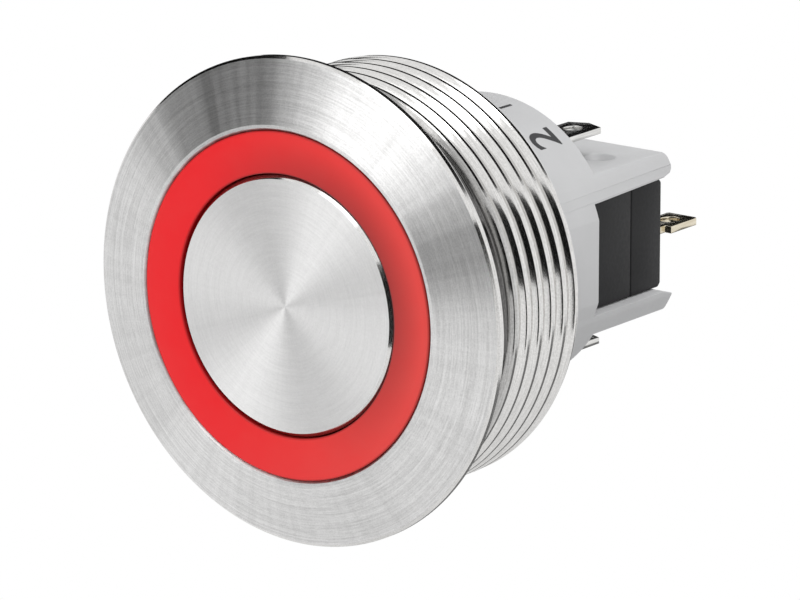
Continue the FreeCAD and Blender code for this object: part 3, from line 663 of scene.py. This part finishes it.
def rail_outline(height, side, round_by):
    """Side view, as (station, height), of what is cut away outside a rail with a round end."""
    turns = [math.radians(18 * step) for step in range(6)]
    arc = [(RAIL_END - round_by * (1 - math.sin(turn)), height - side * round_by * (1 - math.cos(turn)))
           for turn in turns]
    return [(COLLAR_REAR, height), *arc, (RAIL_END + 1, height - side * round_by),
            (RAIL_END + 1, side * OUTSIDE), (COLLAR_REAR, side * OUTSIDE)]


def cross_cut(name, outline):
    """A cutter that runs right across the carrier with a side view of (station, height)."""
    corners = [(-OUTSIDE, station, height) for station, height in outline]
    return slab(name, corners, (2 * OUTSIDE, 0, 0))


def switch_pocket():
    """Cutter for the space between the rails, which opens a little towards their ends."""
    return cross_cut("switch_pocket", [
        (POCKET_FLOOR, -POCKET_TOP), (RAIL_END - 1, -POCKET_TOP), (RAIL_END, -3.25), (RAIL_END + 1, -3.25),
        (RAIL_END + 1, 3.6), (RAIL_END, 3.6), (RAIL_END - 0.1, 3.42), (RAIL_END - 0.35, 3.24),
        (RAIL_END - 1, 3.1), (POCKET_FLOOR, POCKET_TOP)])


def shape_carrier_side(piece, side):
    """Cut a window, a flat and a dimple at one side and a slot for one tab, and add a peg."""
    left, right = span(side, 5.85, OUTSIDE)
    carve(piece, block("window", (left, WINDOW_FLOOR, -POCKET_TOP), (right, COLLAR_REAR + 1, POCKET_TOP)))
    left, right = span(side, COLLAR_FLAT, OUTSIDE)
    carve(piece, block("collar_flat", (left, KEEPER_REAR, -8), (right, RAIL_END + 1, 8)))
    low, high = span(side, TAB_HEIGHT - 0.225, TAB_HEIGHT + 0.225)
    carve(piece, block("tab_slot", (TAB - 1.1, CARRIER_FRONT - 1, low), (TAB + 1.1, COLLAR_REAR + 1, high)))
    fuse(piece, rod("peg", (side * PEG, PEG_STATION, 2.75), 0.65, 0.8, "Z"))
    carve(piece, rod("dimple", (side * 4.4, SWITCH_SPLIT, UPPER_RAIL_TOP), 0.3, 1.5, "Z", tip_radius=1.3))


def make_carrier():
    """Moulded carrier: base in the barrel, flatted collar, and two rails for the switch."""
    piece = turned("moulded_carrier", [
        (STEM_HOLE, CARRIER_FRONT),
        (FOOT, CARRIER_FRONT),
        (FOOT, CARRIER_STEP),
        (COLLAR, CARRIER_STEP),
        (COLLAR, RAIL_END),
        (STEM_HOLE, RAIL_END),
    ], 192)
    carve(piece, turned("well", [
        (0, CARRIER_FRONT - 1),
        (SPRING_WELL, CARRIER_FRONT - 1),
        (SPRING_WELL, WELL_FLOOR),
        (0, WELL_FLOOR),
    ], 96))
    carve(piece, cross_cut("above_rail", rail_outline(UPPER_RAIL_TOP, 1, 0.35)))
    carve(piece, cross_cut("below_rail", rail_outline(LOWER_RAIL_BOTTOM, -1, 0.15)))
    carve(piece, switch_pocket())
    for side in (-1, 1):
        shape_carrier_side(piece, side)
    tidy_flats(piece)
    soften(piece, 0.07, sharper_than=32)
    smooth(piece, 30)
    settle(piece, "housing", "carrier", "carrier_plastic", carrier_plastic)


def make_switch_cover():
    """Front half of the switch's case, with its chamber and holes."""
    piece = block("switch_front_half", (-SWITCH_SIDE, SWITCH_FRONT, -SWITCH_TOP),
                  (SWITCH_SIDE, SWITCH_SPLIT, SWITCH_TOP))
    soften(piece, 0.12, 3)
    carve(piece, block("chamber", (-5.8, CHAMBER_FRONT, -1.9), (5.8, SWITCH_SPLIT + 1, 1.9)))
    carve(piece, rod("actuator_hole", (0.8, 16.2, 0), 1.0, 3, "Y"))
    for side in (-1, 1):
        carve(piece, rod("peg_hole", (side * PEG, PEG_STATION, SWITCH_TOP), 0.7, 1.25, "Z"))
    smooth(piece)
    settle(piece, "housing", "switch_cover", "switch_black", switch_plastic)


def make_switch_base():
    """Rear half of the switch's case, moulded round the terminals."""
    front, corner = SWITCH_SPLIT + 0.02, 0.2
    outline = [
        (front, -SWITCH_TOP), (SWITCH_REAR - corner, -SWITCH_TOP), (SWITCH_REAR, corner - SWITCH_TOP),
        (SWITCH_REAR, SWITCH_TOP - corner), (SWITCH_REAR - corner, SWITCH_TOP), (front, SWITCH_TOP),
    ]
    corners = [(-SWITCH_SIDE, station, height) for station, height in outline]
    piece = slab("switch_rear_half", corners, (2 * SWITCH_SIDE, 0, 0))
    soften(piece, 0.09, 3)
    for centre in (-TERMINAL, 0, TERMINAL):
        carve(piece, block("terminal_slot", (centre - 0.57, SWITCH_SPLIT - 1, TERMINAL_BOTTOM - 0.02),
                           (centre + 0.57, SWITCH_REAR + 1, TERMINAL_TOP + 0.02)))
    smooth(piece)
    settle(piece, "housing", "switch_base", "switch_black", switch_plastic)


def make_terminal(name, node, centre, arm):
    """Flat terminal with a pierced solder lug, and its arm inside the switch."""
    neck, lug, bevel = 0.55, 0.95, 0.12
    inner_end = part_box(node)[0].y / MM
    outline = [
        (-neck, inner_end), (neck, inner_end), (neck, LUG_FRONT), (lug, LUG_FRONT),
        (lug, LUG_REAR - bevel), (lug - bevel, LUG_REAR), (bevel - lug, LUG_REAR), (-lug, LUG_REAR - bevel),
        (-lug, LUG_FRONT), (-neck, LUG_FRONT),
    ]
    corners = [(centre + across, along, TERMINAL_BOTTOM) for across, along in outline]
    piece = slab(name, corners, (0, 0, TERMINAL_TOP - TERMINAL_BOTTOM))
    carve(piece, rod("lug_hole", (centre, (LUG_FRONT + LUG_REAR) / 2, 0), 0.55, 2, "Z", 48))
    if arm:
        left, right = arm
        middle = (TERMINAL_TOP + TERMINAL_BOTTOM) / 2
        fuse(piece, block("arm", (centre + left, inner_end, middle - 0.9),
                          (centre + right, inner_end + 0.25, middle + 0.9)))
    soften(piece, 0.05)
    smooth(piece)
    settle(piece, "housing", node, "terminal_metal", terminal_plate)


def make_terminals():
    """Common, open and closed terminals, each as long as its solid."""
    make_terminal("common_lug", "terminal_common", -TERMINAL, None)
    make_terminal("open_lug", "terminal_open", 0, (0, 4.3))
    make_terminal("closed_lug", "terminal_closed", TERMINAL, (-1.9, 0))


def make_lamp_tab(name, node, side):
    """Flat tinned terminal of the lamp circuit, with a hole and a low pointed end."""
    half, thickness = 1.05, 0.35
    front, slope = BOARD_FRONT - 0.02, TAB_TIP - 0.45
    outline = [(-half, front), (half, front), (half, slope), (0, TAB_TIP), (-half, slope)]
    bottom = side * TAB_HEIGHT - thickness / 2
    piece = slab(name, [(TAB + across, along, bottom) for across, along in outline], (0, 0, thickness))
    carve(piece, rod("tab_hole", (TAB, TAB_TIP - 1.5, side * TAB_HEIGHT), 0.5, 2, "Z", 48))
    soften(piece, 0.05)
    smooth(piece)
    settle(piece, "housing", node, "tinned", tin_plate)


def stand_on_collar(piece, angle, station):
    """Move flat writing to the collar, tangent to it, with its head towards the face."""
    turn = math.radians(angle)
    outward = Vector((math.cos(turn), 0, math.sin(turn)))
    across = Vector((-math.sin(turn), 0, math.cos(turn)))
    upward = Vector((0, -1, 0))
    place = Matrix((across, upward, outward)).transposed().to_4x4()
    place.translation = (outward * COLLAR + Vector((0, station, 0))) * MM
    piece.matrix_world = place
    bpy.ops.object.transform_apply(location=True, rotation=True, scale=True)


def print_digit(name, digit, angle, station, height):
    """A thin digit printed on the collar and wrapped round it."""
    bpy.ops.object.select_all(action="DESELECT")
    bpy.ops.object.text_add()
    piece = bpy.context.object
    piece.name = name
    piece.data.body = digit
    piece.data.align_x = "CENTER"
    piece.data.align_y = "CENTER"
    piece.data.size = height / 0.7 * MM
    piece.data.extrude = 0.4 * MM
    piece.data.offset = 0.02 * height * MM
    only(piece)
    bpy.ops.object.convert(target="MESH")
    piece = bpy.context.object
    stand_on_collar(piece, angle, station)
    edit(piece)
    close_edit()
    inner, outer = COLLAR - 0.03, COLLAR + 0.006
    front, rear = 12, COLLAR_REAR - 0.1
    film = turned("ink_film", [(inner, front), (outer, front), (outer, rear), (inner, rear)], 192)
    combine(piece, film, "INTERSECT")
    settle(piece, "housing", None, "carrier_plastic", print_ink)


def dress_nodes():
    """Finishes of the pieces that keep their CAD shape."""
    finishes = {f"lamp_{number}": lamp_resin for number in range(1, 7)}
    finishes.update({
        "button_pusher": pusher_plastic,
        "lamp_board": board_lacquer,
        "keeper_ring": spring_steel,
        "switch_actuator": actuator_plastic,
        "contact_open": contact_silver,
        "contact_closed": contact_silver,
        "contact_leaf": leaf_bronze,
        "moving_contact": contact_silver,
    })
    for name, material in finishes.items():
        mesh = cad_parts[name].data
        mesh.materials.clear()
        mesh.materials.append(material)


def make_camera():
    """Camera at the photograph's place."""
    place = Vector((0.18968, -0.24417, 0.08267))
    target = Vector((0.004448, 0.002228, 0.000301))
    aim = (target - place).to_track_quat("-Z", "Y").to_euler()
    bpy.ops.object.camera_add(location=place, rotation=aim)
    camera = bpy.context.object
    camera.name = "photo_camera"
    camera.data.sensor_width = 36
    camera.data.lens = 289.14
    camera.data.clip_start = 0.02
    camera.data.clip_end = 20
    bpy.context.scene.camera = camera


def seen_directly(tree):
    """1 for the rays of the camera, of reflections and through clear pieces, 0 for lighting."""
    path = tree.nodes.new("ShaderNodeLightPath")
    seen = path.outputs["Is Camera Ray"]
    for kind in ("Is Glossy Ray", "Is Transmission Ray"):
        either = tree.nodes.new("ShaderNodeMath")
        either.operation = "MAXIMUM"
        tree.links.new(seen, either.inputs[0])
        tree.links.new(path.outputs[kind], either.inputs[1])
        seen = either.outputs["Value"]
    return seen


def floor_finish(near, far):
    """Pale floor that keeps shadows near the object and is plain white beyond."""
    finish = Finish("pale_floor", Base_Color=(0.75, 0.75, 0.75, 1), Roughness=0.9)
    away = finish.spread(finish.vector("LENGTH", finish.place), 0, 1, (near + far) / 2, (far - near) / 2)
    share = finish.maths("MULTIPLY", away, seen_directly(finish.tree))
    white = finish.add("ShaderNodeEmission")
    mix = finish.add("ShaderNodeMixShader")
    finish.link(share, mix.inputs["Fac"])
    finish.link(finish.shader.outputs["BSDF"], mix.inputs[1])
    finish.link(white.outputs["Emission"], mix.inputs[2])
    finish.link(mix.outputs["Shader"], finish.tree.nodes["Material Output"].inputs["Surface"])
    return finish.material


def card_finish(name, shade):
    """Matt paint of a card, black or grey, that gives no shine of its own."""
    paint = (shade, shade, shade, 1)
    return Finish(name, Base_Color=paint, Roughness=1.0, Specular_IOR_Level=0.0).material


def make_floor():
    """Plain pale floor below the object."""
    bpy.ops.object.select_all(action="DESELECT")
    bpy.ops.mesh.primitive_plane_add(size=6, location=(0, 0, -0.06))
    floor = bpy.context.object
    floor.name = "floor"
    bpy.ops.object.transform_apply(location=True, rotation=True, scale=True)
    floor.data.materials.append(floor_finish(near=0.05, far=0.13))


def toward(azimuth, elevation, distance):
    """A point in a direction from the object: azimuth from the front towards +X."""
    side, rise = math.radians(azimuth), math.radians(elevation)
    level = Vector((math.sin(side), -math.cos(side), 0)) * math.cos(rise)
    return (level + Vector((0, 0, math.sin(rise)))) * distance


def hang_card(name, azimuth, elevation, width, height, material, lean=0, distance=0.5):
    """A card facing the object, as wide and high as angles say, that only reflections see."""
    place = toward(azimuth, elevation, distance)
    aim = (place.to_track_quat("Z", "Y") @ Quaternion((0, 0, 1), math.radians(lean))).to_euler()
    bpy.ops.object.select_all(action="DESELECT")
    bpy.ops.mesh.primitive_plane_add(size=1, location=place, rotation=aim)
    card = bpy.context.object
    card.name = name
    across, up = (2 * distance * math.tan(math.radians(angle / 2)) for angle in (width, height))
    card.scale = (across, up, 1)
    bpy.ops.object.transform_apply(location=True, rotation=True, scale=True)
    card.data.materials.append(material)
    card.visible_camera = False
    card.visible_shadow = False
    card.visible_diffuse = False


def hang_lamp(name, azimuth, elevation, size, watts, distance=0.6):
    """A square soft lamp aimed at the object."""
    place = toward(azimuth, elevation, distance)
    aim = place.to_track_quat("Z", "Y").to_euler()
    bpy.ops.object.light_add(type="AREA", location=place, rotation=aim)
    lamp = bpy.context.object
    lamp.name = name
    lamp.data.shape = "SQUARE"
    lamp.data.size = size
    lamp.data.energy = watts


def make_world(strength):
    """Plain white surroundings for the eye and reflections, dimmer as a lamp."""
    world = bpy.data.worlds.new("studio")
    world.use_nodes = True
    bpy.context.scene.world = world
    tree = world.node_tree
    background = tree.nodes["Background"]
    background.inputs["Color"].default_value = (1, 1, 1, 1)
    level = tree.nodes.new("ShaderNodeMapRange")
    level.inputs["To Min"].default_value = strength
    level.inputs["To Max"].default_value = 1.0
    tree.links.new(seen_directly(tree), level.inputs["Value"])
    tree.links.new(level.outputs["Result"], background.inputs["Strength"])


def make_stage():
    """Floor, cards, lamps and surroundings."""
    make_floor()
    make_world(0.72)
    black = card_finish("card_black", 0.01)
    grey = card_finish("card_grey", 0.2)
    hang_card("right_front_flag", 25, 5, 36, 29, black)
    hang_card("front_flag", -3, -2, 44, 12, black, lean=22)
    hang_card("left_flag", -51, 12, 28, 38, black, lean=33)
    hang_card("left_edge_flag", -88, 27, 38, 46, black)
    hang_card("edge_flag", 54.3, 0, 11, 52, black, distance=0.051)
    hang_card("rear_left_flag", -142, 15, 40, 28, black)
    hang_card("rear_upper_flag", -178, 38, 56, 26, black)
    hang_card("rear_under_card", -179, -32, 70, 28, grey, distance=0.075)
    hang_card("bottom_edge_flag", -148, -24, 30, 16, black, distance=0.065)
    hang_lamp("key_lamp", -14, 28, 0.34, 0.46)
    hang_lamp("upper_lamp", 8, 58, 0.3, 0.34)
    hang_lamp("top_lamp", 150, 68, 0.3, 1.5)


make_camera()
make_housing()
make_light_ring()
make_button()
make_seal()
make_spring()
make_carrier()
make_switch_cover()
make_switch_base()
make_terminals()
make_lamp_tab("upper_lamp_tab", "lamp_tab_upper", 1)
make_lamp_tab("lower_lamp_tab", "lamp_tab_lower", -1)
print_digit("printed_two", "2", 54.3, 14.45, 1.95)
print_digit("printed_one", "1", 76.5, 14.8, 1.0)
dress_nodes()
make_stage()

bpy.context.scene.view_settings.view_transform = "Standard"
